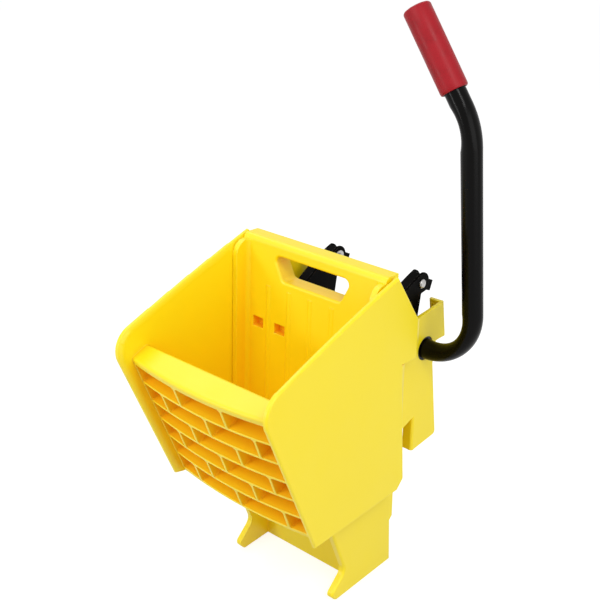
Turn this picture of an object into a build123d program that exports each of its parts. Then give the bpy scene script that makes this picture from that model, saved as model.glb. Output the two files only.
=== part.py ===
from build123d import *
from math import atan2, cos, degrees, hypot, radians, sin, tan
import os

# Side-press mop wringer, millimetres. X runs across the hopper with the handle at +X,
# the ribbed front wall faces -Y, and the feet stand on Z = 0 with the cross wall over Y = 0.

# Hopper side panels
panel_span = 240.0
panel_wall = 9.0
panel_bottom = 145.0
panel_front_foot = -132.3
panel_lean = 22.0
panel_rear_top = (9.4, 436.0)
panel_rear_low = (51.4, 371.0)
panel_rear_foot = 35.0
panel_ledge_height = 320.0
panel_ledge_start = 23.0
panel_top_fall = 18.0
panel_top_crown = 3.0
panel_corner_radius = 30.0
panel_foot_chamfer = 12.0
panel_edge_radius = 2.5
lead_in_depth = 8.0
lead_in_width = 3.5

# Ribbed front wall, leaning forward at the top
wall_lean = 21.2
wall_foot = -90.8
wall_top_height = 344.5
wall_depth = 27.0
wall_bow = 8.5
pocket_rows = 6
pocket_columns = 3
pocket_depth = 22.0
pocket_rib = 3.5
pocket_top_band = 8.0
pocket_foot_band = 1.5
pocket_corner = 2.0
wall_top_radius = 4.0

# Floor, legs and cross wall
floor_thickness = 6.0
floor_lap = 1.0
drain_count = 9
drain_width = 9.0
drain_pitch = 22.0
drain_front = -84.0
drain_rear = -22.0
mount_span = 170.8
mount_wall = 9.0
leg_rear = 64.0
leg_waist = (58.5, 64.0)
leg_foot_rear = 61.5
leg_dip = (-33.0, 36.0)
leg_dip_radius = 14.0
hook_tip = (-61.0, 11.0)
hook_toe = -51.0
hook_radius = 7.0
leg_edge_radius = 3.0
cross_wall = 8.0

# Rear side walls, stepped in behind the panels, with the tabs that straddle a bucket's rim
rear_span = 190.0
rear_wall = 5.5
upper_jog_start = 54.0
lower_jog_start = 28.0
jog_radius = 18.0
upper_notch = (87.0, 350.0)
upper_notch_radius = 5.0
upper_tab_top = (142.5, 354.8)
upper_tab_foot = (149.8, 305.3)
upper_tab_return = 20.0
left_shoulder = (99.0, 374.0)
left_shoulder_foot = 115.0
left_shoulder_radius = 12.0
tab_waist = (123.4, 275.0)
tab_heel = (137.2, 166.0)
tab_toe = 162.0
tab_return = 15.0
tab_bend_radius = 4.0
rim_slot_rear = 85.0
rim_slot_top = 212.3
rim_slot_front_top = 189.0
rim_slot_radius = 5.0

# Shaft, handle and grip
shaft_y = 105.0
shaft_z = 303.0
tube_radius = 12.7
tube_wall = 2.0
shaft_left_end = -104.0
riser_gap = 44.9
riser_rise = 290.8
riser_lean = 4.87
grip_tilt = 34.2
grip_run = 143.1
lower_bend_radius = 62.0
lower_bend_flat = 4.5
lower_bend_crest = 0.5
upper_bend_radius = 110.0
upper_bend_flat = 3.2
upper_bend_crest = 0.4
grip_length = 103.3
grip_wall = 3.9
grip_end_wall = 4.0
grip_dome = 4.0
plug_depth = 14.0
plug_flange = 2.5
boss_wall = 6.3
boss_stand = 14.5
bush_wall = 3.0
bush_lip = 4.75
bush_flange = 2.5
bush_length = 19.0

# Cranks, links and their pins, one set on each side
link_width = 16.0
link_sheet = 2.5
link_bend = 1.8
crank_pivot = (120.0, 380.0)
plate_pivot = (18.0, 314.0)
link_head_wall = 9.5
link_head_angles = (100.0, 20.0, -55.0)
link_eye_wall = 6.2
link_eye_angles = (115.0, 195.0, 280.0)
link_crown = (63.0, 369.7)
link_heel = (102.0, 329.0)
link_heel_radius = 12.0
link_heel_top = (112.5, 360.4)
link_waist = (116.0, 366.5)
crank_play = 1.0
crank_head_wall = 6.0
crank_neck = 7.5
crank_tail = 28.0
crank_tail_width = 14.0
crank_tail_fall = 24.0
hub_wall = 7.3
hub_flat_depth = 1.4
hub_width = 16.0
crank_bolt_radius = 3.0
crank_bolt_head = 5.0
crank_bolt_head_lip = 2.6
crank_nut = 5.0
pin_radius = 5.0
pin_head = 3.0
pin_head_lip = 1.0
pin_tail = 4.0
washer_thickness = 1.5
washer_lip = 4.0
eye_play_along = 1.0
eye_play_across = 3.8

# Press plate, hinged along its foot
hinge_y = -2.0
hinge_z = 168.0
plate_lean = 2.6
plate_height = 268.6
plate_front = 13.0
plate_rear = -11.0
plate_skin = 8.0
plate_rim = 8.0
plate_corner_radius = 7.0
plate_flange_depth = 20.0
plate_flange_wall = 7.0
plate_flange_foot = 24.0
plate_flange_radius = 18.0
plate_bend_radius = 6.0
barrel_wall = 7.0
hinge_rod_radius = 5.0
hinge_socket = 5.0
hand_hole_top_length = 121.0
hand_hole_foot_length = 91.0
hand_hole_height = 31.0
hand_hole_drop = 33.1
hand_hole_radius = 7.0
hand_hole_rim = 7.0
hand_hole_lip = 3.2
press_rib_count = 5
press_rib_pitch = 33.9
press_rib_width = 8.0
press_rib_height = 1.5
press_rib_root = 1.0
press_rib_drop = 59.6
press_rib_foot = 34.0
window_up = 154.7
window_width = 17.0
window_height = 13.5
window_depth = 11.5
window_wall = 5.0
window_edge = 1.0
rear_rib = 5.0
lug_wall = 7.0
lug_rim = 7.0

# Clearances
side_play = 0.6
running_play = 0.05
seat_play = 0.02
joint_play = 0.7

panel_half = panel_span / 2
panel_inner = panel_half - panel_wall
mount_half = mount_span / 2
mount_inner = mount_half - mount_wall
rear_half = rear_span / 2
rear_inner = rear_half - rear_wall
floor_top = panel_bottom + floor_thickness
plate_half = panel_inner - side_play
hand_hole_up = plate_height - hand_hole_drop
press_rib_top = plate_height - press_rib_drop
barrel_radius = hinge_rod_radius + barrel_wall
bush_radius = tube_radius + running_play + bush_wall
boss_radius = bush_radius + boss_wall
boss_inner_face = rear_inner - boss_stand
link_offset = boss_inner_face - link_width / 2
crank_thickness = link_width - 2 * link_sheet - 2 * crank_play
hub_radius = tube_radius + hub_wall
hub_flat = hub_radius - hub_flat_depth
grip_radius = tube_radius + grip_wall
link_head_radius = pin_radius + link_head_wall
link_eye_radius = pin_radius + eye_play_across + link_eye_wall
lug_radius = pin_radius + lug_rim
lean_slope = tan(radians(wall_lean))
panel_slope = tan(radians(panel_lean))
sides = {"right": 1, "left": -1}

os.makedirs("parts", exist_ok=True)


def save(solid, name):
    """Label a finished piece and write its STEP file."""
    solid.label = name
    export_step(solid, f"parts/{name}.step")


def on_circle(centre, radius, angle):
    """A point at an angle, in degrees from +Y towards +Z, round a pivot."""
    return (centre[0] + radius * cos(radians(angle)), centre[1] + radius * sin(radians(angle)))


def across(x):
    """The plane square to X at a distance from the middle, with Y and Z as its own axes."""
    return Plane.YZ.offset(x)


# Side panel: a sheet cut to the hopper's side view, its rim eased and beveled on the inside
top_slope = tan(radians(panel_top_fall))
front_reach = panel_front_foot + panel_slope * panel_bottom
corner_fall = top_slope * (panel_rear_top[0] - front_reach)
corner_z = (panel_rear_top[1] - corner_fall) / (1 + top_slope * panel_slope)
panel_front_corner = (front_reach - panel_slope * corner_z, corner_z)
top_middle = (
    (panel_front_corner[0] + panel_rear_top[0]) / 2,
    (panel_front_corner[1] + panel_rear_top[1]) / 2 + panel_top_crown,
)
with BuildPart() as panel:
    with BuildSketch(across(panel_inner)) as panel_outline:
        with BuildLine():
            Polyline(
                (panel_rear_foot - panel_foot_chamfer, panel_bottom),
                (panel_front_foot, panel_bottom),
                panel_front_corner,
            )
            ThreePointArc(panel_front_corner, top_middle, panel_rear_top)
            Polyline(
                panel_rear_top,
                panel_rear_low,
                (panel_rear_low[0], panel_ledge_height),
                (panel_ledge_start, panel_ledge_height),
                (panel_rear_foot, panel_bottom + panel_foot_chamfer),
                (panel_rear_foot - panel_foot_chamfer, panel_bottom),
            )
        make_face()
        fillet(panel_outline.vertices().sort_by_distance(panel_front_corner)[0], panel_corner_radius)
    extrude(amount=panel_wall)
    outer_face = panel.faces().sort_by(Axis.X)[-1]
    fillet(outer_face.edges(), panel_edge_radius)
    inner_face = panel.faces().sort_by(Axis.X)[0]
    rim_edges = inner_face.edges().filter_by(lambda e: e.center().Y < panel_rear_top[0])
    rim_edges = rim_edges.filter_by(lambda e: e.center().Z > corner_z - panel_corner_radius)
    chamfer(rim_edges, lead_in_depth, lead_in_width, reference=inner_face)

# Rear walls: each steps in behind its panel by a slant of 45 degrees with rounded bends
rear_step = panel_half - rear_half
wall_lap = 2 * panel_wall
upper_start = upper_jog_start - wall_lap
lower_start = lower_jog_start - wall_lap
rear_slope = (panel_rear_top[1] - panel_rear_low[1]) / (panel_rear_low[0] - panel_rear_top[0])
left_shoulder_start = panel_rear_low[1] + rear_slope * (panel_rear_low[0] - upper_start)


def stepped_wall(jog_start, outline, rounded_corners, corner_radius):
    """A wall on the right that starts inside the panel, cut to an outline in the side view."""
    start = jog_start - wall_lap
    end = max(y for y, z in outline)
    with BuildPart() as wall:
        with BuildSketch() as plan:
            with BuildLine():
                Polyline(
                    (panel_half, start),
                    (panel_half, jog_start),
                    (rear_half, jog_start + rear_step),
                    (rear_half, end),
                    (rear_inner, end),
                    (rear_inner, jog_start + rear_step - rear_wall / 2),
                    (panel_inner, jog_start - panel_wall / 2),
                    (panel_inner, start),
                    close=True,
                )
            make_face()
            fillet(plan.vertices().filter_by(lambda v: start < v.Y < end), jog_radius)
        extrude(amount=panel_rear_top[1])
        with BuildSketch(across(0)) as side_view:
            with BuildLine():
                Polyline(*outline, close=True)
            make_face()
            corners = [side_view.vertices().sort_by_distance(corner)[0] for corner in rounded_corners]
            fillet(corners, corner_radius)
        extrude(amount=panel_span, mode=Mode.INTERSECT)
    return wall.part


# Upper rear walls: the right one ends in a tab with a return, the left one in a plain shoulder
right_outline = [
    (upper_start, panel_ledge_height),
    (upper_start, panel_rear_low[1]),
    panel_rear_low,
    upper_notch,
    upper_tab_top,
    upper_tab_foot,
    (tab_waist[0], upper_tab_foot[1]),
    (tab_waist[0], panel_ledge_height),
]
left_outline = [
    (upper_start, panel_ledge_height),
    (upper_start, left_shoulder_start),
    left_shoulder,
    (left_shoulder_foot, panel_ledge_height),
]
left_wall = stepped_wall(upper_jog_start, left_outline, [left_shoulder], left_shoulder_radius)
with BuildPart() as right_wall:
    add(stepped_wall(upper_jog_start, right_outline, [upper_notch], upper_notch_radius))
    with BuildSketch(across(rear_half - upper_tab_return)):
        with BuildLine():
            Polyline(
                upper_tab_top,
                upper_tab_foot,
                (upper_tab_foot[0] - rear_wall, upper_tab_foot[1]),
                (upper_tab_top[0] - rear_wall, upper_tab_top[1]),
                close=True,
            )
        make_face()
    extrude(amount=upper_tab_return)
    rear_edges = right_wall.edges().filter_by(lambda e: e.center().Y > upper_tab_top[0])
    outer_edges = rear_edges.filter_by(lambda e: e.center().X > rear_half - seat_play)
    fillet(outer_edges.sort_by(SortBy.LENGTH)[-1], tab_bend_radius)

# Lower rear wall: steps in further forward, cut away for the bucket's rim in front of its tab
lower_outline = [
    (lower_start, rim_slot_front_top),
    (lower_start, panel_ledge_height),
    (tab_waist[0], panel_ledge_height),
    tab_waist,
    tab_heel,
    (rim_slot_rear, tab_toe),
    (rim_slot_rear, rim_slot_top),
]
with BuildPart() as lower_wall:
    add(stepped_wall(lower_jog_start, lower_outline, [tab_heel], rim_slot_radius))
    with BuildSketch(across(rear_half - tab_return)):
        with BuildLine():
            Polyline(
                (rim_slot_rear, tab_toe),
                (rim_slot_rear + rear_wall, tab_toe),
                (rim_slot_rear + rear_wall, rim_slot_top),
                (rim_slot_rear, rim_slot_top),
                close=True,
            )
        make_face()
    extrude(amount=tab_return)
    front_edges = lower_wall.edges().filter_by(Axis.Z).filter_by(lambda e: e.center().X > rear_half - seat_play)
    fillet(front_edges.sort_by_distance((rear_half, rim_slot_rear, tab_toe))[0], tab_bend_radius)

# Ledge: closes the step between the upper and the lower rear wall
with BuildPart() as ledge:
    with BuildSketch(Plane.XY.offset(panel_ledge_height)) as ledge_plan:
        with BuildLine():
            Polyline(
                (panel_half, lower_jog_start),
                (panel_half, upper_jog_start),
                (rear_half, upper_jog_start + rear_step),
                (rear_inner, upper_jog_start + rear_step),
                (rear_inner, lower_jog_start + rear_step),
                (panel_inner, lower_jog_start),
                close=True,
            )
        make_face()
        fillet(ledge_plan.vertices().sort_by_distance((panel_half, upper_jog_start))[0], jog_radius)
    extrude(amount=rear_wall)

# Leg: a plate under the floor with a hooked toe in front
leg_front_top = (leg_dip[0] - lean_slope * (floor_top - leg_dip[1]), floor_top)
with BuildPart() as leg:
    with BuildSketch(across(mount_inner)) as leg_outline:
        with BuildLine():
            Polyline(
                leg_front_top,
                leg_dip,
                hook_tip,
                (hook_toe, 0),
                (leg_foot_rear, 0),
                leg_waist,
                (leg_rear, leg_waist[1] + leg_rear - leg_waist[0]),
                (leg_rear, floor_top),
                close=True,
            )
        make_face()
        fillet(leg_outline.vertices().sort_by_distance(leg_dip)[0], leg_dip_radius)
        fillet(leg_outline.vertices().sort_by_distance(hook_tip)[0], hook_radius)
        fillet(leg_outline.vertices().sort_by_distance((hook_toe, 0))[0], hook_radius)
    extrude(amount=mount_wall)
    fillet(leg.faces().sort_by(Axis.X)[-1].edges(), leg_edge_radius)

# Pockets of the front wall, laid like bricks and sunk to an even depth behind the bowed face
wall_run = (wall_top_height - panel_bottom) / cos(radians(wall_lean))
wall_plane = Plane(
    origin=(0, wall_foot, panel_bottom),
    x_dir=(1, 0, 0),
    z_dir=(0, -cos(radians(wall_lean)), -sin(radians(wall_lean))),
)
wall_end_plane = Plane(origin=wall_plane.origin, x_dir=(1, 0, 0), z_dir=-wall_plane.y_dir)
row_start = lean_slope * (wall_depth + wall_bow) + pocket_foot_band
row_pitch = (wall_run - pocket_top_band - row_start) / pocket_rows
column_pitch = 2 * panel_inner / pocket_columns
with BuildPart() as pockets:
    with BuildSketch(wall_plane):
        for row in range(pocket_rows):
            up = wall_run - pocket_top_band - (row + 0.5) * row_pitch
            shift = row % 2 * column_pitch / 2
            for column in range(pocket_columns + row % 2):
                low = max(-panel_inner, -panel_inner + column * column_pitch - shift) + pocket_rib / 2
                high = min(panel_inner, -panel_inner + (column + 1) * column_pitch - shift) - pocket_rib / 2
                with Locations(((low + high) / 2, up)):
                    RectangleRounded(high - low, row_pitch - pocket_rib, pocket_corner)
    extrude(amount=wall_depth + 2 * wall_bow)
    with BuildSketch(wall_end_plane.offset(-2 * wall_run)):
        with BuildLine():
            ThreePointArc(
                (-panel_inner, wall_depth - pocket_depth),
                (0, wall_depth + wall_bow - pocket_depth),
                (panel_inner, wall_depth - pocket_depth),
            )
            Polyline(
                (panel_inner, wall_depth - pocket_depth),
                (panel_inner, wall_depth + 3 * wall_bow),
                (-panel_inner, wall_depth + 3 * wall_bow),
                (-panel_inner, wall_depth - pocket_depth),
            )
        make_face()
    extrude(amount=4 * wall_run, mode=Mode.INTERSECT)

# Front wall: flat inside, bowed outside, between the two panels
with BuildPart() as front_wall:
    with BuildSketch(wall_end_plane.offset(-wall_run)):
        with BuildLine():
            Polyline(
                (-panel_inner, wall_depth),
                (-panel_inner, 0),
                (panel_inner, 0),
                (panel_inner, wall_depth),
            )
            ThreePointArc((panel_inner, wall_depth), (0, wall_depth + wall_bow), (-panel_inner, wall_depth))
        make_face()
    extrude(amount=wall_run + wall_depth)
    top_edges = front_wall.faces().sort_by(Axis.Z)[-1].edges()
    fillet(top_edges.filter_by(lambda e: abs(e.center().X) < panel_wall), wall_top_radius)
    add(pockets.part, mode=Mode.SUBTRACT)
    split(bisect_by=Plane.XY.offset(panel_bottom), keep=Keep.TOP)

# Floor: carries the panels on the legs, with drain slots in front of the plate
with BuildPart() as floor:
    with BuildSketch(Plane.XY.offset(panel_bottom)):
        with BuildLine():
            Polyline(
                (-panel_inner, wall_foot - floor_lap),
                (panel_inner, wall_foot - floor_lap),
                (panel_inner, panel_rear_foot - panel_foot_chamfer),
                (mount_half, leg_rear),
                (-mount_half, leg_rear),
                (-panel_inner, panel_rear_foot - panel_foot_chamfer),
                close=True,
            )
        make_face()
        with Locations((0, (drain_front + drain_rear) / 2)):
            with GridLocations(drain_pitch, 0, drain_count, 1):
                SlotOverall(drain_rear - drain_front, drain_width, rotation=90, mode=Mode.SUBTRACT)
    extrude(amount=floor_thickness)

# Body: the right half's walls and their mirror, with the upper walls, front wall, floor and cross wall
with BuildPart() as body:
    add(panel.part)
    add(lower_wall.part)
    add(ledge.part)
    add(leg.part)
    with BuildSketch(across(boss_inner_face)):
        with Locations((shaft_y, shaft_z)):
            Circle(boss_radius)
    extrude(amount=rear_half - boss_inner_face)
    mirror(about=Plane.YZ)
    add(right_wall.part)
    add(left_wall.mirror(Plane.YZ))
    add(front_wall.part)
    add(floor.part)
    with Locations((0, 0, panel_bottom / 2)):
        Box(2 * mount_inner, cross_wall, panel_bottom)
    with Locations(Plane.YZ):
        with Locations((shaft_y, shaft_z, 0)):
            Cylinder(bush_radius + seat_play, 2 * panel_span, mode=Mode.SUBTRACT)
        with Locations((hinge_y, hinge_z, 0)):
            Cylinder(hinge_rod_radius + seat_play, 2 * (panel_inner + hinge_socket), mode=Mode.SUBTRACT)
save(body.part, "body")

# Press plate: skin, rim, hand hole, front ribs, windows, hinge barrel and rear lugs
plate_plane = Plane(
    origin=(0, hinge_y, hinge_z),
    x_dir=(1, 0, 0),
    z_dir=(0, -cos(radians(plate_lean)), sin(radians(plate_lean))),
)
pivot_back = plate_pivot[0] - hinge_y
pivot_rise = plate_pivot[1] - hinge_z
pivot_up = pivot_rise * cos(radians(plate_lean)) + pivot_back * sin(radians(plate_lean))
lug_inner = link_width / 2 + joint_play
window_reach = lug_inner + window_edge + window_width / 2
block_width = window_width + window_edge + window_wall
block_reach = lug_inner + block_width / 2
plate_middle = plate_height / 2
lug_root = hinge_y + pivot_rise * tan(radians(plate_lean)) - (plate_front - plate_skin / 2)


def hand_hole(margin):
    """Outline of the hand hole in the plate's plane, wider at its top, grown by a margin."""
    hole_top = hand_hole_up + hand_hole_height / 2
    hole_foot = hand_hole_up - hand_hole_height / 2
    with BuildSketch(mode=Mode.PRIVATE) as outline:
        with BuildLine():
            Polyline(
                (-hand_hole_top_length / 2, hole_top),
                (hand_hole_top_length / 2, hole_top),
                (hand_hole_foot_length / 2, hole_foot),
                (-hand_hole_foot_length / 2, hole_foot),
                close=True,
            )
        make_face()
        fillet(outline.vertices(), hand_hole_radius)
        if margin:
            offset(amount=margin)
    return outline.sketch


with BuildPart() as press_plate:
    with BuildSketch(plate_plane.offset(plate_rear)):
        with Locations((0, plate_middle)):
            Rectangle(2 * plate_half, plate_height)
    extrude(amount=plate_front - plate_rear)
    fillet(press_plate.edges().filter_by(Axis.X).group_by(Axis.Z)[-1], plate_corner_radius)
    with BuildSketch(plate_plane.offset(plate_rear)):
        with Locations((0, plate_middle)):
            Rectangle(2 * (plate_half - plate_rim), plate_height - 2 * plate_rim)
        add(hand_hole(hand_hole_rim), mode=Mode.SUBTRACT)
        with Locations((-press_rib_pitch / 2, plate_middle), (press_rib_pitch / 2, plate_middle)):
            Rectangle(rear_rib, plate_height, mode=Mode.SUBTRACT)
        with Locations((0, pivot_up - 2 * lug_radius), (0, pivot_up + 2 * lug_radius)):
            Rectangle(2 * plate_half, rear_rib, mode=Mode.SUBTRACT)
    extrude(amount=plate_front - plate_skin - plate_rear, mode=Mode.SUBTRACT)
    flange_front = plate_front + plate_flange_depth
    flange_top = plate_height - plate_corner_radius
    for edge in (plate_half, plate_flange_wall - plate_half):
        edge_plane = Plane(origin=(edge, hinge_y, hinge_z), x_dir=plate_plane.z_dir, z_dir=(-1, 0, 0))
        with BuildSketch(edge_plane) as flange:
            with BuildLine():
                Polyline(
                    (0, plate_flange_foot),
                    (plate_front, plate_flange_foot),
                    (flange_front, plate_flange_foot + plate_flange_depth),
                    (flange_front, flange_top),
                    (0, flange_top),
                    close=True,
                )
            make_face()
            flange_tip = flange.vertices().sort_by_distance((flange_front, flange_top))[0]
            fillet(flange_tip, plate_flange_radius)
        extrude(amount=plate_flange_wall)
    bend_foot = plate_flange_foot + plate_bend_radius
    bend_middle = plate_bend_radius * (1 - cos(radians(45)))
    for side in sides.values():
        bend_x = side * (plate_half - plate_flange_wall)
        bend_corner = plate_plane.from_local_coords((bend_x, bend_foot, plate_front))
        with BuildSketch(Plane(origin=bend_corner, x_dir=(-side, 0, 0), z_dir=plate_plane.y_dir)):
            with BuildLine():
                Polyline((plate_bend_radius, 0), (0, 0), (0, side * plate_bend_radius))
                ThreePointArc(
                    (0, side * plate_bend_radius),
                    (bend_middle, side * bend_middle),
                    (plate_bend_radius, 0),
                )
            make_face()
        extrude(amount=flange_top - bend_foot)
    with Locations(Plane.YZ):
        with Locations((hinge_y, hinge_z, 0)):
            Cylinder(barrel_radius, 2 * plate_half)
    with BuildSketch(plate_plane.offset(plate_rear)):
        add(hand_hole(0))
    extrude(amount=plate_front - plate_rear, mode=Mode.SUBTRACT)
    front_face = press_plate.faces().filter_by(plate_plane).sort_by(SortBy.AREA)[-1]
    fillet(front_face.inner_wires()[0].edges(), hand_hole_lip)
    with BuildSketch(mode=Mode.PRIVATE) as press_rib:
        with BuildLine():
            Polyline(
                (press_rib_width / 2, 0),
                (press_rib_width / 2, -press_rib_root),
                (-press_rib_width / 2, -press_rib_root),
                (-press_rib_width / 2, 0),
            )
            ThreePointArc((-press_rib_width / 2, 0), (0, press_rib_height), (press_rib_width / 2, 0))
        make_face()
    rib_start = plate_plane.from_local_coords((0, press_rib_foot, plate_front))
    with BuildSketch(Plane(origin=rib_start, x_dir=(-1, 0, 0), z_dir=plate_plane.y_dir)):
        with GridLocations(press_rib_pitch, 0, press_rib_count, 1):
            add(press_rib.sketch)
    extrude(amount=press_rib_top - press_rib_foot)
    for side in sides.values():
        for face in (-lug_inner - lug_wall, lug_inner):
            with BuildSketch(across(side * link_offset + face)):
                with BuildLine():
                    Polyline(
                        (plate_pivot[0], plate_pivot[1] + lug_radius),
                        (lug_root, plate_pivot[1] + 2 * lug_radius),
                        (lug_root, plate_pivot[1] - 2 * lug_radius),
                        (plate_pivot[0], plate_pivot[1] - lug_radius),
                    )
                    ThreePointArc(
                        (plate_pivot[0], plate_pivot[1] - lug_radius),
                        (plate_pivot[0] + lug_radius, plate_pivot[1]),
                        (plate_pivot[0], plate_pivot[1] + lug_radius),
                    )
                make_face()
            extrude(amount=lug_wall)
    with BuildSketch(plate_plane.offset(plate_front - window_depth - window_wall)):
        for side in sides.values():
            places = (side * link_offset - block_reach, side * link_offset + block_reach)
            with Locations(*[(place, window_up) for place in places]):
                Rectangle(block_width, window_height + 2 * window_wall)
    extrude(amount=window_depth + window_wall - plate_skin)
    with BuildSketch(plate_plane.offset(plate_front - window_depth)):
        for side in sides.values():
            places = (side * link_offset - window_reach, side * link_offset + window_reach)
            with Locations(*[(place, window_up) for place in places]):
                Rectangle(window_width, window_height)
    extrude(amount=window_depth, mode=Mode.SUBTRACT)
    with Locations(Plane.YZ):
        with Locations((*plate_pivot, 0)):
            Cylinder(pin_radius + seat_play, 2 * panel_span, mode=Mode.SUBTRACT)
        with Locations((hinge_y, hinge_z, 0)):
            Cylinder(hinge_rod_radius + running_play, 2 * panel_span, mode=Mode.SUBTRACT)
save(press_plate.part, "press_plate")

# Hinge rod: a steel bar through the plate's barrel, its ends in blind sockets in the panels
with BuildPart() as hinge_rod:
    with Locations(Plane.YZ):
        with Locations((hinge_y, hinge_z, 0)):
            Cylinder(hinge_rod_radius, 2 * (panel_inner + hinge_socket) - 2 * seat_play)
save(hinge_rod.part, "plate_hinge_rod")

# Handle tube: shaft, riser and inclined top in one bent tube, pressed a little flat inside both bends
riser_foot = panel_half + riser_gap
riser_corner = (riser_foot - riser_rise * tan(radians(riser_lean)), shaft_z + riser_rise)
tube_top = (
    riser_corner[0] - grip_run * sin(radians(grip_tilt)),
    riser_corner[1] + grip_run * cos(radians(grip_tilt)),
)
with BuildPart() as handle_tube:
    with BuildLine():
        tube_path = FilletPolyline(
            (shaft_left_end, shaft_y, shaft_z),
            (riser_foot, shaft_y, shaft_z),
            (riser_corner[0], shaft_y, riser_corner[1]),
            (tube_top[0], shaft_y, tube_top[1]),
            radius=[lower_bend_radius, upper_bend_radius],
        )
    shaft_line, lower_bend, riser_line, upper_bend, top_line = tube_path.edges()
    for line in (shaft_line, riser_line, top_line):
        with BuildSketch(Plane(origin=line @ 0, z_dir=line % 0)):
            Circle(tube_radius)
            Circle(tube_radius - tube_wall, mode=Mode.SUBTRACT)
        sweep(path=line)
    bends = (
        (lower_bend, lower_bend_crest, lower_bend_flat),
        (upper_bend, upper_bend_crest, upper_bend_flat),
    )
    for radius, mode in ((tube_radius, Mode.ADD), (tube_radius - tube_wall, Mode.SUBTRACT)):
        for bend, crest, crest_flat in bends:
            for share, flat in ((0, 0), (crest, crest_flat), (1, 0)):
                with BuildSketch(Plane(origin=bend @ share, x_dir=(0, 1, 0), z_dir=bend % share)):
                    with Locations((0, -flat / 2)):
                        Ellipse(radius + flat / 4, radius - flat / 2)
            sweep(path=bend, multisection=True, mode=mode)
    for side in sides.values():
        bolt_x = side * (link_offset + crank_thickness / 2 - hub_width / 2)
        with Locations(Plane.XZ):
            with Locations((bolt_x, shaft_z, -shaft_y)):
                Cylinder(crank_bolt_radius + seat_play, 4 * tube_radius, mode=Mode.SUBTRACT)
save(handle_tube.part, "handle_tube")

# Grip: a closed sleeve with a domed end over the top of the tube
grip_axis = Vector(-sin(radians(grip_tilt)), 0, cos(radians(grip_tilt)))
grip_end = Vector(tube_top[0], shaft_y, tube_top[1]) + grip_axis * grip_end_wall
grip_plane = Plane(origin=grip_end, x_dir=(0, 1, 0), z_dir=-grip_axis)
with BuildPart() as grip:
    with BuildSketch(grip_plane):
        Circle(grip_radius)
    extrude(amount=grip_length)
    fillet(grip.edges().sort_by(Axis.Z)[-1], grip_dome)
    fillet(grip.edges().sort_by(Axis.Z)[0], tube_wall)
    with BuildSketch(grip_plane.offset(grip_end_wall)):
        Circle(tube_radius + seat_play)
    extrude(amount=grip_length, mode=Mode.SUBTRACT)
save(grip.part, "grip")

# End plug: closes the shaft's open end beyond the left wall
with BuildPart() as tube_plug:
    with BuildSketch(across(shaft_left_end)):
        with Locations((shaft_y, shaft_z)):
            Circle(tube_radius)
    extrude(amount=-plug_flange)
    fillet(tube_plug.edges().sort_by(Axis.X)[0], plug_flange / 2)
    with BuildSketch(across(shaft_left_end)):
        with Locations((shaft_y, shaft_z)):
            Circle(tube_radius - tube_wall - seat_play)
    extrude(amount=plug_depth)
save(tube_plug.part, "tube_plug")


def crank(side):
    """Crank arm: a hub bolted round the shaft, an arm up to the pin and a squared tail behind it."""
    inner = side * link_offset - crank_thickness / 2
    hub_low = side * (link_offset + crank_thickness / 2 - hub_width / 2) - hub_width / 2
    shaft_point = (shaft_y, shaft_z)
    arm_angle = degrees(atan2(crank_pivot[1] - shaft_z, crank_pivot[0] - shaft_y))
    arm_length = hypot(crank_pivot[1] - shaft_z, crank_pivot[0] - shaft_y)
    with BuildPart() as arm:
        with BuildSketch(across(inner)):
            with Locations(crank_pivot):
                Circle(pin_radius + crank_head_wall)
                with Locations(Location((0, 0), -crank_tail_fall)):
                    Rectangle(crank_tail, crank_tail_width, align=(Align.MIN, Align.CENTER))
            with Locations(Location(shaft_point, arm_angle)):
                Rectangle(arm_length, 2 * crank_neck, align=(Align.MIN, Align.CENTER))
        extrude(amount=crank_thickness)
        with BuildSketch(across(hub_low)):
            with Locations(shaft_point):
                Circle(hub_radius)
                Rectangle(2 * hub_flat, 2 * hub_radius, mode=Mode.INTERSECT)
        extrude(amount=hub_width)
        with Locations(Plane.YZ):
            with Locations((*shaft_point, 0)):
                Cylinder(tube_radius + seat_play, 2 * panel_span, mode=Mode.SUBTRACT)
            with Locations((*crank_pivot, 0)):
                Cylinder(pin_radius + seat_play, 2 * panel_span, mode=Mode.SUBTRACT)
        with Locations(Plane.XZ):
            with Locations((hub_low + hub_width / 2, shaft_z, -shaft_y)):
                Cylinder(crank_bolt_radius + seat_play, 4 * hub_radius, mode=Mode.SUBTRACT)
    return arm.part


def crank_bolt(side):
    """Cross bolt: a hexagon head in front of the hub, its shank through hub and tube."""
    bolt_x = side * (link_offset + crank_thickness / 2 - hub_width / 2)
    with BuildPart() as bolt:
        with BuildSketch(Plane.XZ.offset(hub_flat - shaft_y)):
            with Locations((bolt_x, shaft_z)):
                RegularPolygon(crank_bolt_radius + crank_bolt_head_lip, 6)
        extrude(amount=crank_bolt_head)
        with BuildSketch(Plane.XZ.offset(hub_flat - shaft_y)):
            with Locations((bolt_x, shaft_z)):
                Circle(crank_bolt_radius)
        extrude(amount=-(2 * hub_flat + crank_nut + washer_thickness))
    return bolt.part


def crank_bolt_nut(side):
    """Nut on the cross bolt, against the hub's rear flat."""
    bolt_x = side * (link_offset + crank_thickness / 2 - hub_width / 2)
    with BuildPart() as nut:
        with BuildSketch(Plane.XZ.offset(-(shaft_y + hub_flat))):
            with Locations((bolt_x, shaft_z)):
                RegularPolygon(crank_bolt_radius + crank_bolt_head_lip, 6)
                Circle(crank_bolt_radius + seat_play, mode=Mode.SUBTRACT)
        extrude(amount=-crank_nut)
    return nut.part


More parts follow.
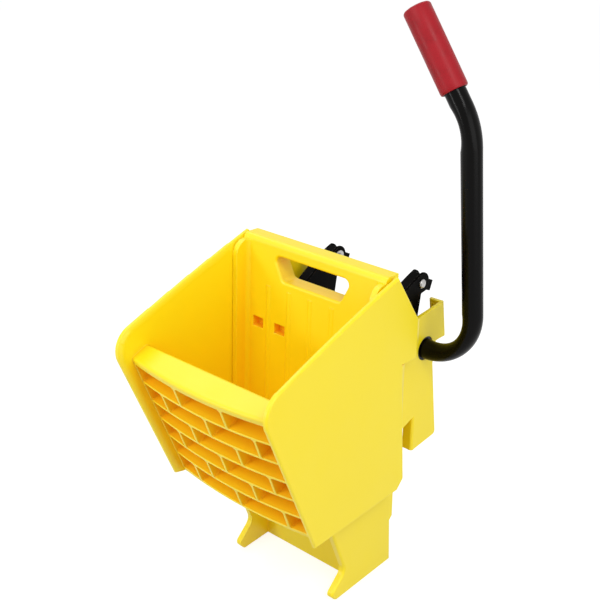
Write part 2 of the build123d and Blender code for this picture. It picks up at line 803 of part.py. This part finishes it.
def link(side):
    """Link: a deep pressed channel from the crank pin down to the plate's lugs."""
    low = side * link_offset - link_width / 2
    head_top, head_rear, head_low = [on_circle(crank_pivot, link_head_radius, a) for a in link_head_angles]
    eye_top, eye_front, eye_low = [on_circle(plate_pivot, link_eye_radius, a) for a in link_eye_angles]
    rise = degrees(atan2(crank_pivot[1] - plate_pivot[1], crank_pivot[0] - plate_pivot[0]))
    with BuildPart() as channel:
        with BuildSketch(across(low)) as flange_outline:
            with BuildLine():
                ThreePointArc(head_top, link_crown, eye_top)
                ThreePointArc(eye_top, eye_front, eye_low)
                Polyline(eye_low, link_heel, link_heel_top, link_waist, head_low)
                ThreePointArc(head_low, head_rear, head_top)
            make_face()
            fillet(flange_outline.vertices().sort_by_distance(link_heel)[0], link_heel_radius)
        extrude(amount=link_width)
        web = channel.faces().filter_by(lambda f: abs(f.center().X - side * link_offset) < 0.1)
        web = web.sort_by_distance((side * link_offset, *link_crown))[0]
        bends = web.edges().filter_by(lambda e: abs(e.center().X - side * link_offset) > link_sheet)
        chamfer(bends, link_bend)
        sink = link_sheet / cos(radians(rise))
        with BuildSketch(across(low + link_sheet)):
            with BuildLine():
                far = 3 * link_head_radius
                start = (head_top[0], head_top[1] - sink)
                end = (eye_top[0], eye_top[1] - sink)
                ThreePointArc(start, (link_crown[0], link_crown[1] - sink), end)
                Polyline(
                    end,
                    (end[0] - far, end[1] - far),
                    (end[0] - far, end[1] - 2 * far),
                    (start[0] + far, end[1] - 2 * far),
                    (start[0] + far, start[1] + far),
                    (start[0], start[1] + far),
                    start,
                )
            make_face()
        extrude(amount=link_width - 2 * link_sheet, mode=Mode.SUBTRACT)
        with Locations(Plane.YZ):
            with Locations((*crank_pivot, 0)):
                Cylinder(pin_radius + running_play, 2 * panel_span, mode=Mode.SUBTRACT)
        with BuildSketch(across(low)):
            with Locations(Location(plate_pivot, rise + 90)):
                SlotOverall(2 * (pin_radius + eye_play_across), 2 * (pin_radius + eye_play_along))
        extrude(amount=link_width, mode=Mode.SUBTRACT)
    return channel.part


def headed_pin(pivot, side, reach):
    """Pin with a domed outer head, long enough to carry a washer on its inner end."""
    low = side * (link_offset + reach)
    with BuildPart() as pin:
        with BuildSketch(across(low)):
            with Locations(pivot):
                Circle(pin_radius + pin_head_lip)
        extrude(amount=side * pin_head)
        fillet(pin.edges().sort_by(Axis.X)[-1 if side > 0 else 0], pin_head / 2)
        with BuildSketch(across(low)):
            with Locations(pivot):
                Circle(pin_radius)
        extrude(amount=-side * (2 * reach + pin_tail))
    return pin.part


def push_washer(pivot, side, reach):
    """Push-on washer that keeps a pin in its hole."""
    with BuildPart() as washer:
        with BuildSketch(across(side * (link_offset - reach - running_play))):
            with Locations(pivot):
                Circle(pin_radius + washer_lip)
                Circle(pin_radius + seat_play, mode=Mode.SUBTRACT)
        extrude(amount=-side * washer_thickness)
    return washer.part


def shaft_bush(side):
    """Flanged bush that carries the shaft in a side wall's boss."""
    with BuildPart() as bush:
        with BuildSketch(across(side * boss_inner_face)):
            with Locations((shaft_y, shaft_z)):
                Circle(bush_radius + bush_lip)
        extrude(amount=-side * bush_flange)
        with BuildSketch(across(side * boss_inner_face)):
            with Locations((shaft_y, shaft_z)):
                Circle(bush_radius)
        extrude(amount=side * bush_length)
        with Locations(Plane.YZ):
            with Locations((shaft_y, shaft_z, 0)):
                Cylinder(tube_radius + running_play, 2 * panel_span, mode=Mode.SUBTRACT)
    return bush.part


link_reach = link_width / 2 + running_play
lug_reach = lug_inner + lug_wall
for name, side in sides.items():
    save(shaft_bush(side), f"shaft_bush_{name}")
    save(crank(side), f"crank_arm_{name}")
    save(crank_bolt(side), f"crank_bolt_{name}")
    save(crank_bolt_nut(side), f"crank_nut_{name}")
    save(link(side), f"link_{name}")
    save(headed_pin(crank_pivot, side, link_reach), f"crank_pin_{name}")
    save(push_washer(crank_pivot, side, link_reach), f"crank_washer_{name}")
    save(headed_pin(plate_pivot, side, lug_reach), f"plate_pin_{name}")
    save(push_washer(plate_pivot, side, lug_reach), f"plate_washer_{name}")
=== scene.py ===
from math import radians

import bmesh
import bpy
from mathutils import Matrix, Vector


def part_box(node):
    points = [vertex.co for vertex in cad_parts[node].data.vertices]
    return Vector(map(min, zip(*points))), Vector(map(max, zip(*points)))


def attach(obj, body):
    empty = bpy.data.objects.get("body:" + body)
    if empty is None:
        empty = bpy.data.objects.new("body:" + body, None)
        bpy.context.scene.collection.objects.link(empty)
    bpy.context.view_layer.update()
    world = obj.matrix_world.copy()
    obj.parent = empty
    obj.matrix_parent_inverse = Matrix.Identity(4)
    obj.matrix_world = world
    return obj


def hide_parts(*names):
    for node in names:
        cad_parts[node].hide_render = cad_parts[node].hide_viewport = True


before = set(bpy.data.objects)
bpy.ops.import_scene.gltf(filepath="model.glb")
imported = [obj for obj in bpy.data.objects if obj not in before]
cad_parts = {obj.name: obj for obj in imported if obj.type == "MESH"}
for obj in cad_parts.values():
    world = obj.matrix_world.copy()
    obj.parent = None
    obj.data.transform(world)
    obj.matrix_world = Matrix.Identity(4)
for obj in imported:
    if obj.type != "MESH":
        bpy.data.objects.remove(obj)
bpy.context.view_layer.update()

# The hopper is one injection moulding in yellow polypropylene: two side panels, a ribbed front wall,
# a floor, and legs that stand in the bucket. It leaves its mould with rounded edges and a satin skin,
# a little uneven in colour where the plastic flowed. Its colour is painted paler along its edges, a
# painted highlight that also stands for wear by use, and painted deeper orange as shade in its own
# recesses.
moulded_edge = 0.0010
moulded_steps = 3
moulded_least = 0.006
weld_gap = 0.000001
flat_angle = radians(0.5)
sharp_angle = radians(50)
smooth_angle = radians(38)


def take_up(piece):
    """Make one piece the only one selected, and the active one."""
    bpy.ops.object.select_all(action="DESELECT")
    piece.select_set(True)
    bpy.context.view_layer.objects.active = piece


def copy_of_node(node, name):
    """Start a piece from a node of the frame, welded, with each flat face made whole."""
    piece = bpy.data.objects.new(name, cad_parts[node].data.copy())
    bpy.context.scene.collection.objects.link(piece)
    take_up(piece)
    bpy.ops.mesh.customdata_custom_splitnormals_clear()
    bpy.ops.object.mode_set(mode="EDIT")
    bpy.ops.mesh.select_all(action="SELECT")
    bpy.ops.mesh.remove_doubles(threshold=weld_gap)
    bpy.ops.mesh.dissolve_limited(angle_limit=flat_angle)
    bpy.ops.object.mode_set(mode="OBJECT")
    return piece


def round_edges(piece, radius, steps=2, least=0):
    """Round the outer sharp edges that are longer than least, and keep the flat faces flat."""
    take_up(piece)
    bpy.ops.object.mode_set(mode="EDIT")
    bpy.ops.mesh.select_mode(type="EDGE")
    bpy.ops.mesh.select_all(action="DESELECT")
    shape = bmesh.from_edit_mesh(piece.data)
    for edge in shape.edges:
        if edge.is_convex and edge.calc_face_angle() > sharp_angle and edge.calc_length() > least:
            edge.select_set(True)
    bmesh.update_edit_mesh(piece.data)
    bpy.ops.mesh.bevel(offset=radius, segments=steps, affect="EDGES", clamp_overlap=False)
    bpy.ops.object.mode_set(mode="OBJECT")
    bpy.ops.object.shade_smooth_by_angle(angle=smooth_angle)
    weighted = piece.modifiers.new("flat_faces", "WEIGHTED_NORMAL")
    weighted.keep_sharp = True
    bpy.ops.object.modifier_apply(modifier=weighted.name)


def fit(piece, finish, body, node):
    """Give a piece its finish, and put it in the place of a node of the frame."""
    piece.data.materials.clear()
    piece.data.materials.append(finish)
    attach(piece, body)
    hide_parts(node)


class Shade:
    """A socket in one node tree. Arithmetic on it adds Math nodes to that tree."""

    def __init__(self, tree, socket=None):
        self.tree = tree
        self.socket = socket

    def node(self, kind, settings, values, output=0):
        """Add a node: its settings first, then the values or links of its sockets."""
        made = self.tree.nodes.new(kind)
        for setting, choice in settings.items():
            setattr(made, setting, choice)
        for name, value in values.items():
            if isinstance(value, Shade):
                self.tree.links.new(value.socket, made.inputs[name])
            else:
                made.inputs[name].default_value = value
        return Shade(self.tree, made.outputs[output] if made.outputs else None)

    def maths(self, operation, first, second):
        """Add a Math node for two values or numbers."""
        return self.node("ShaderNodeMath", {"operation": operation}, {0: first, 1: second})

    def __add__(self, other):
        return self.maths("ADD", self, other)

    def __radd__(self, other):
        return self.maths("ADD", other, self)

    def __sub__(self, other):
        return self.maths("SUBTRACT", self, other)

    def __rsub__(self, other):
        return self.maths("SUBTRACT", other, self)

    def __mul__(self, other):
        return self.maths("MULTIPLY", self, other)

    def __rmul__(self, other):
        return self.maths("MULTIPLY", other, self)


def new_finish(name):
    """Start a finish: an empty node tree and the coordinates of the piece that it is on."""
    finish = bpy.data.materials.new(name)
    finish.use_nodes = True
    finish.node_tree.nodes.clear()
    place = Shade(finish.node_tree).node("ShaderNodeTexCoord", {}, {}, "Object")
    return finish, place


def noise(place, scale, detail):
    """A cloudy value from 0 to 1, with scale patches in a metre."""
    values = {"Vector": place, "Scale": scale, "Detail": detail}
    return place.node("ShaderNodeTexNoise", {"noise_dimensions": "3D"}, values)


def streaks(place, patches, detail):
    """A cloudy value with its own number of patches in a metre along x, y and z."""
    drawn = place.node("ShaderNodeMapping", {"vector_type": "POINT"}, {"Vector": place, "Scale": patches})
    return noise(drawn, 1, detail)


def above(value, start, end):
    """0 below start, 1 above end, and smooth between them."""
    settings = {"interpolation_type": "SMOOTHSTEP"}
    return value.node("ShaderNodeMapRange", settings, {"Value": value, "From Min": start, "From Max": end})


def edge_wear_and_highlight(place, reach):
    """About 1 on the edges of a piece and 0 on its faces, reach metres wide."""
    first_edge_mark, full_edge_mark = 0.01, 0.12
    eased = place.node("ShaderNodeBevel", {"samples": 6}, {"Radius": reach}, "Normal")
    plain = place.node("ShaderNodeNewGeometry", {}, {}, "Normal")
    settings = {"operation": "DOT_PRODUCT"}
    likeness = place.node("ShaderNodeVectorMath", settings, {0: eased, 1: plain}, "Value")
    return above(1 - likeness, first_edge_mark, full_edge_mark)


def closed_in(place, reach):
    """0 in the open, and up to 1 where the piece itself, within reach metres, shuts out the light."""
    first_shade, full_shade = 0.15, 0.85
    settings = {"samples": 8, "only_local": True}
    open_share = place.node("ShaderNodeAmbientOcclusion", settings, {"Distance": reach}, "AO")
    return above(1 - open_share, first_shade, full_shade)


def blend_colours(factor, first, second):
    """Mix two colours by a value. A Mix node's colour sockets have numbers, because names repeat."""
    first_socket, second_socket, blended_socket = 6, 7, 2
    values = {"Factor": factor, first_socket: first, second_socket: second}
    return factor.node("ShaderNodeMix", {"data_type": "RGBA"}, values, blended_socket)


def bumped(height, strength, depth):
    """A surface normal raised by a height value, depth metres at most."""
    return height.node("ShaderNodeBump", {}, {"Strength": strength, "Distance": depth, "Height": height})


def close_finish(place, sockets):
    """Close a finish with the shader that light meets."""
    skin = place.node("ShaderNodeBsdfPrincipled", {}, sockets)
    place.node("ShaderNodeOutputMaterial", {}, {"Surface": skin})


yellow = (0.96, 0.775, 0.003, 1)
deep_yellow = (0.95, 0.74, 0.002, 1)
painted_shade_yellow = (0.95, 0.52, 0.003, 1)
highlight_and_wear_yellow = (0.97, 0.84, 0.10, 1)
highlight_and_wear_reach = 0.0016
painted_shade_reach = 0.10
yellow_polypropylene, place = new_finish("yellow_polypropylene")
flow = streaks(place, (6, 6, 2), 3)
scuffs = above(streaks(place, (40, 900, 160), 2), 0.66, 0.80)
edge_highlight_and_wear = edge_wear_and_highlight(place, highlight_and_wear_reach)
painted_shade = closed_in(place, painted_shade_reach)
dull_patches = noise(place, 28, 4)
fine_grain = noise(place, 1400, 2)
coarse_grain = noise(place, 260, 2)
skin_colour = blend_colours(flow, yellow, deep_yellow)
# Painted shade: the colour turns deeper orange where the piece's own walls shut out the light.
skin_colour = blend_colours(painted_shade, skin_colour, painted_shade_yellow)
# Paler along the edges: a painted highlight, which also stands for wear by use.
skin_colour = blend_colours(0.45 * edge_highlight_and_wear + 0.05 * scuffs, skin_colour, highlight_and_wear_yellow)
skin_height = fine_grain + 0.5 * coarse_grain - 0.4 * scuffs
close_finish(place, {
    "Base Color": skin_colour,
    "Roughness": 0.36 + 0.10 * dull_patches + 0.08 * scuffs,
    "Specular IOR Level": 0.6,
    "Normal": bumped(skin_height, strength=0.10, depth=0.0002),
})

hopper = copy_of_node("body", "hopper")
round_edges(hopper, moulded_edge, moulded_steps, moulded_least)
fit(hopper, yellow_polypropylene, "frame", "body")

# Two flanged bushes in black nylon carry the shaft. Each is pushed into the boss of its side wall
# from inside, and its flange keeps the crank off the wall.
bush_edge = 0.0004
dry_nylon = (0.012, 0.012, 0.012, 1)
greasy_nylon = (0.006, 0.006, 0.006, 1)
black_nylon, place = new_finish("black_nylon")
grease = above(noise(place, 120, 3), 0.5, 0.7)
nylon_grain = noise(place, 1100, 2)
close_finish(place, {
    "Base Color": blend_colours(grease, dry_nylon, greasy_nylon),
    "Roughness": 0.55 - 0.25 * grease,
    "Specular IOR Level": 0.3,
    "Normal": bumped(nylon_grain, strength=0.08, depth=0.0002),
})

sides = ("right", "left")
for side in sides:
    bush = copy_of_node(f"shaft_bush_{side}", f"bush_{side}")
    round_edges(bush, bush_edge)
    fit(bush, black_nylon, "frame", f"shaft_bush_{side}")

# The hinge rod is a bar of zinc-plated steel along the foot of the press plate. Its ends sit in blind
# sockets in the two side panels, and the plate turns on it.
rod_edge = 0.0005
clean_zinc = (0.50, 0.49, 0.47, 1)
tarnished_zinc = (0.28, 0.27, 0.26, 1)
bright_zinc, place = new_finish("bright_zinc")
turning_lines = streaks(place, (900, 60, 60), 3)
tarnish = above(noise(place, 160, 4), 0.45, 0.75)
close_finish(place, {
    "Base Color": blend_colours(tarnish, clean_zinc, tarnished_zinc),
    "Metallic": 1.0,
    "Roughness": 0.20 + 0.16 * tarnish + 0.06 * turning_lines,
    "Normal": bumped(turning_lines, strength=0.05, depth=0.0001),
})

rod = copy_of_node("plate_hinge_rod", "hinge_rod")
round_edges(rod, rod_edge)
fit(rod, bright_zinc, "frame", "plate_hinge_rod")

# The press plate is a second yellow moulding, with the hopper's edges and skin. It has low ribs down
# its front, side flanges, a hand hole along its top, and a barrel along its foot that the hinge rod
# passes through.
plate = copy_of_node("press_plate", "plate")
round_edges(plate, moulded_edge, moulded_steps, moulded_least)
fit(plate, yellow_polypropylene, "plate", "press_plate")

# The handle is one length of 1 inch steel tube, bent twice and powder coated in satin black. The
# coat has a fine orange peel, and is rubbed smooth in patches where hands and mops pass.
fresh_black = (0.0012, 0.0010, 0.0009, 1)
rubbed_black = (0.0022, 0.0019, 0.0016, 1)
chipped_steel_and_highlight = (0.16, 0.15, 0.14, 1)
chip_and_highlight_reach = 0.0007


def black_coat(name, roughness, shine):
    """A black coat with an orange peel, rubbed in patches and chipped pale along the edges, where the pale
    chips also paint a highlight.
    """
    finish, place = new_finish(name)
    rubs = above(streaks(place, (30, 30, 9), 4), 0.52, 0.72)
    chips_and_edge_highlight = edge_wear_and_highlight(place, chip_and_highlight_reach) * above(noise(place, 240, 3), 0.35, 0.60)
    unevenness = noise(place, 90, 3)
    orange_peel = noise(place, 700, 2)
    colour = blend_colours(rubs, fresh_black, rubbed_black)
    # Pale chips along the edges, which also stand in as a painted highlight on the bends.
    colour = blend_colours(0.8 * chips_and_edge_highlight, colour, chipped_steel_and_highlight)
    close_finish(place, {
        "Base Color": colour,
        "Roughness": roughness - 0.06 * rubs + 0.05 * unevenness,
        "Specular IOR Level": shine,
        "Normal": bumped(orange_peel, strength=0.10, depth=0.0003),
    })
    return finish


black_powder_coat = black_coat("black_powder_coat", roughness=0.22, shine=0.09)
handle = copy_of_node("handle_tube", "handle")
bpy.ops.object.shade_smooth_by_angle(angle=smooth_angle)
fit(handle, black_powder_coat, "handle", "handle_tube")

# The grip is a dipped sleeve of soft red vinyl, pushed over the top of the tube. It has a rolled lip at
# its open end and a crowned, closed top.
grip_top = (0.05744, 0.105, 0.71546)
grip_axis = (0.56208, 0, -0.82708)
grip_profile = [
    (0.0000, 0.0040), (0.0002, 0.0085), (0.0006, 0.0120), (0.0014, 0.0146), (0.0027, 0.0160),
    (0.0042, 0.0166), (0.030, 0.0166), (0.060, 0.0166), (0.0913, 0.0166), (0.0993, 0.0166),
    (0.1015, 0.01645), (0.1027, 0.0159), (0.1033, 0.0150), (0.1030, 0.0140), (0.1021, 0.0133),
    (0.1003, 0.01276), (0.0853, 0.01274),
]
turned_sides = 64


def turned(name, end, axis, profile):
    """Turn a piece on an axis. The profile lists how far along it, and how wide, each ring is."""
    bpy.ops.object.select_all(action="DESELECT")
    along, radius = profile[0]
    bpy.ops.mesh.primitive_circle_add(
        vertices=turned_sides, radius=radius, fill_type="NGON", location=(0, 0, along)
    )
    piece = bpy.context.object
    piece.name = name
    piece.data.name = name
    bpy.ops.object.transform_apply(location=True, rotation=True, scale=True)
    bpy.ops.object.mode_set(mode="EDIT")
    bpy.ops.mesh.select_all(action="SELECT")
    for next_along, next_radius in profile[1:]:
        bpy.ops.mesh.extrude_region_move(TRANSFORM_OT_translate={"value": (0, 0, next_along - along)})
        grow = next_radius / radius
        bpy.ops.transform.resize(value=(grow, grow, 1), center_override=(0, 0, next_along))
        along, radius = next_along, next_radius
    bpy.ops.mesh.select_all(action="SELECT")
    bpy.ops.mesh.normals_make_consistent(inside=False)
    bpy.ops.object.mode_set(mode="OBJECT")
    piece.location = end
    piece.rotation_euler = Vector(axis).to_track_quat("Z", "Y").to_euler()
    bpy.ops.object.transform_apply(location=True, rotation=True, scale=True)
    bpy.ops.object.shade_smooth_by_angle(angle=smooth_angle)
    return piece


fresh_red = (0.34, 0.007, 0.014, 1)
handled_red = (0.28, 0.005, 0.010, 1)
red_vinyl, place = new_finish("red_vinyl")
handled = above(noise(place, 45, 4), 0.42, 0.70)
speckle = noise(place, 300, 2)
vinyl_grain = noise(place, 500, 3)
close_finish(place, {
    "Base Color": blend_colours(handled, fresh_red, handled_red),
    "Roughness": 0.44 - 0.12 * handled + 0.06 * speckle,
    "Specular IOR Level": 0.22,
    "Normal": bumped(vinyl_grain, strength=0.10, depth=0.0003),
})

grip = turned("hand_grip", grip_top, grip_axis, grip_profile)
fit(grip, red_vinyl, "handle", "grip")

# A plug in the bushes' black nylon closes the shaft's open end beyond the left wall. It is pushed
# into the tube as far as its flange.
plug_edge = 0.0004
plug = copy_of_node("tube_plug", "end_plug")
round_edges(plug, plug_edge)
fit(plug, black_nylon, "handle", "tube_plug")

# Two crank arms in steel, with a duller black coat than the tube's, turn with the shaft. A zinc-plated
# cross bolt with a nut goes through each hub and the tube, and the head of the arm carries the link's pin.
crank_edge = 0.0006
bolt_edge = 0.0003
black_dip_coat = black_coat("black_dip_coat", roughness=0.40, shine=0.02)
for side in sides:
    crank = copy_of_node(f"crank_arm_{side}", f"crank_{side}")
    round_edges(crank, crank_edge)
    fit(crank, black_dip_coat, "handle", f"crank_arm_{side}")
    for fixing in ("bolt", "nut"):
        hexagon = copy_of_node(f"crank_{fixing}_{side}", f"cross_{fixing}_{side}")
        round_edges(hexagon, bolt_edge)
        fit(hexagon, bright_zinc, "handle", f"crank_{fixing}_{side}")

# Two links pressed from sheet steel, with the cranks' black coat, join the cranks to the press plate.
# Each is a deep channel, open below, with a slotted eye at its foot.
link_edge = 0.0005
for side in sides:
    link = copy_of_node(f"link_{side}", f"pressed_link_{side}")
    round_edges(link, link_edge)
    fit(link, black_dip_coat, f"link_{side}", f"link_{side}")

# Four headed pins in zinc-plated steel join the links to the cranks and to the plate's lugs. A push-on
# washer on each inner end keeps the pin in its hole.
pin_radius = 0.0050
pin_head = [
    (0.0000, 0.0012), (0.0002, 0.0026), (0.0006, 0.0040), (0.0012, 0.0051), (0.0020, 0.0058),
    (0.0026, 0.0060), (0.0030, 0.0060), (0.0030, pin_radius),
]
pin_chamfer = 0.0006
washer_edge = 0.0003
pin_bodies = {"crank": "handle", "plate": "plate"}
for side, outward in zip(sides, (1, -1)):
    for joint, body in pin_bodies.items():
        low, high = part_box(f"{joint}_pin_{side}")
        middle = [(a + b) / 2 for a, b in zip(low, high)]
        length = high[0] - low[0]
        head_end = (high[0] if outward > 0 else low[0], middle[1], middle[2])
        shank = [(length - pin_chamfer, pin_radius), (length, pin_radius - pin_chamfer)]
        pin = turned(f"{joint}_head_pin_{side}", head_end, (-outward, 0, 0), pin_head + shank)
        fit(pin, bright_zinc, body, f"{joint}_pin_{side}")
        washer = copy_of_node(f"{joint}_washer_{side}", f"{joint}_push_washer_{side}")
        round_edges(washer, washer_edge)
        fit(washer, bright_zinc, body, f"{joint}_washer_{side}")

# The studio: a pale floor that runs on to white, a soft dome of light, and five square lamps. The two
# large ones light the part from the right and the front, one up on the left gives the top faces their
# sheen, and two small ones draw the pale stripes on the tube.
floor_size = 12.0
lit_floor = (0.45, 0.45, 0.45, 1)
shadow_floor = (0.4, 0.4, 0.4, 1)
floor_glow = 0.77
white_light = (1, 1, 1, 1)
dome_strength = 0.58
backdrop_strength = 1.0
bounces_in_hopper = 12
lamp_target = Vector((0, 0, 0.32))
bpy.ops.object.select_all(action="DESELECT")
bpy.ops.mesh.primitive_plane_add(size=floor_size, location=(0, 0, 0))
floor = bpy.context.object
floor.name = "floor"


def seen_by_eye(tree):
    """1 for what the camera sees, straight or in a shiny surface, and 0 for what lights the object."""
    straight = tree.node("ShaderNodeLightPath", {}, {}, "Is Camera Ray")
    shiny = tree.node("ShaderNodeLightPath", {}, {}, "Is Glossy Ray")
    clear = tree.node("ShaderNodeLightPath", {}, {}, "Is Transmission Ray")
    return straight.maths("MAXIMUM", straight.maths("MAXIMUM", straight, shiny), clear)


floor_paint = bpy.data.materials.new("floor_paint")
floor_paint.use_nodes = True
floor_paint.node_tree.nodes.clear()
tree = Shade(floor_paint.node_tree)
matt = tree.node("ShaderNodeBsdfDiffuse", {}, {"Color": lit_floor})
shadow_catcher = tree.node("ShaderNodeBsdfDiffuse", {}, {"Color": shadow_floor})
glow = tree.node("ShaderNodeEmission", {}, {"Color": white_light, "Strength": floor_glow})
white = tree.node("ShaderNodeAddShader", {}, {0: shadow_catcher, 1: glow})
paint = tree.node("ShaderNodeMixShader", {}, {0: seen_by_eye(tree), 1: matt, 2: white})
tree.node("ShaderNodeOutputMaterial", {}, {"Surface": paint})
floor.data.materials.append(floor_paint)

studio = bpy.data.worlds.new("studio")
studio.use_nodes = True
studio.node_tree.nodes.clear()
tree = Shade(studio.node_tree)
dome = tree.node("ShaderNodeBackground", {}, {"Color": white_light, "Strength": dome_strength})
backdrop = tree.node("ShaderNodeBackground", {}, {"Color": white_light, "Strength": backdrop_strength})
sky = tree.node("ShaderNodeMixShader", {}, {0: seen_by_eye(tree), 1: dome, 2: backdrop})
tree.node("ShaderNodeOutputWorld", {}, {"Surface": sky})
bpy.context.scene.world = studio
bpy.context.scene.cycles.diffuse_bounces = bounces_in_hopper


def softbox(name, spot, size, watts):
    """A square soft lamp that points at the middle of the hopper."""
    bpy.ops.object.light_add(type="AREA", location=spot)
    lamp = bpy.context.object
    lamp.name = name
    lamp.data.size = size
    lamp.data.energy = watts
    aim = lamp_target - Vector(spot)
    lamp.rotation_euler = aim.to_track_quat("-Z", "Y").to_euler()


softbox("key", spot=(2.0, -0.35, 0.85), size=1.5, watts=15)
softbox("front", spot=(-0.4, -1.7, 1.95), size=1.0, watts=15)
softbox("top", spot=(-1.45, 0.25, 2.2), size=0.8, watts=7)
softbox("left_strip", spot=(-0.7, -1.5, 0.5), size=0.25, watts=4)
softbox("right_strip", spot=(1.26, -0.65, 1.82), size=0.34, watts=8)

camera_spot = (0.7647, -0.8895, 0.9112)
camera_azimuth = radians(41.447)
camera_elevation = radians(24.514)
camera_sensor = 36
camera_lens = 64.22
bpy.ops.object.camera_add(location=camera_spot)
camera = bpy.context.object
camera.rotation_euler = (radians(90) - camera_elevation, 0, camera_azimuth)
camera.data.sensor_width = camera_sensor
camera.data.lens = camera_lens
bpy.context.scene.camera = camera
bpy.context.scene.view_settings.view_transform = "Standard"
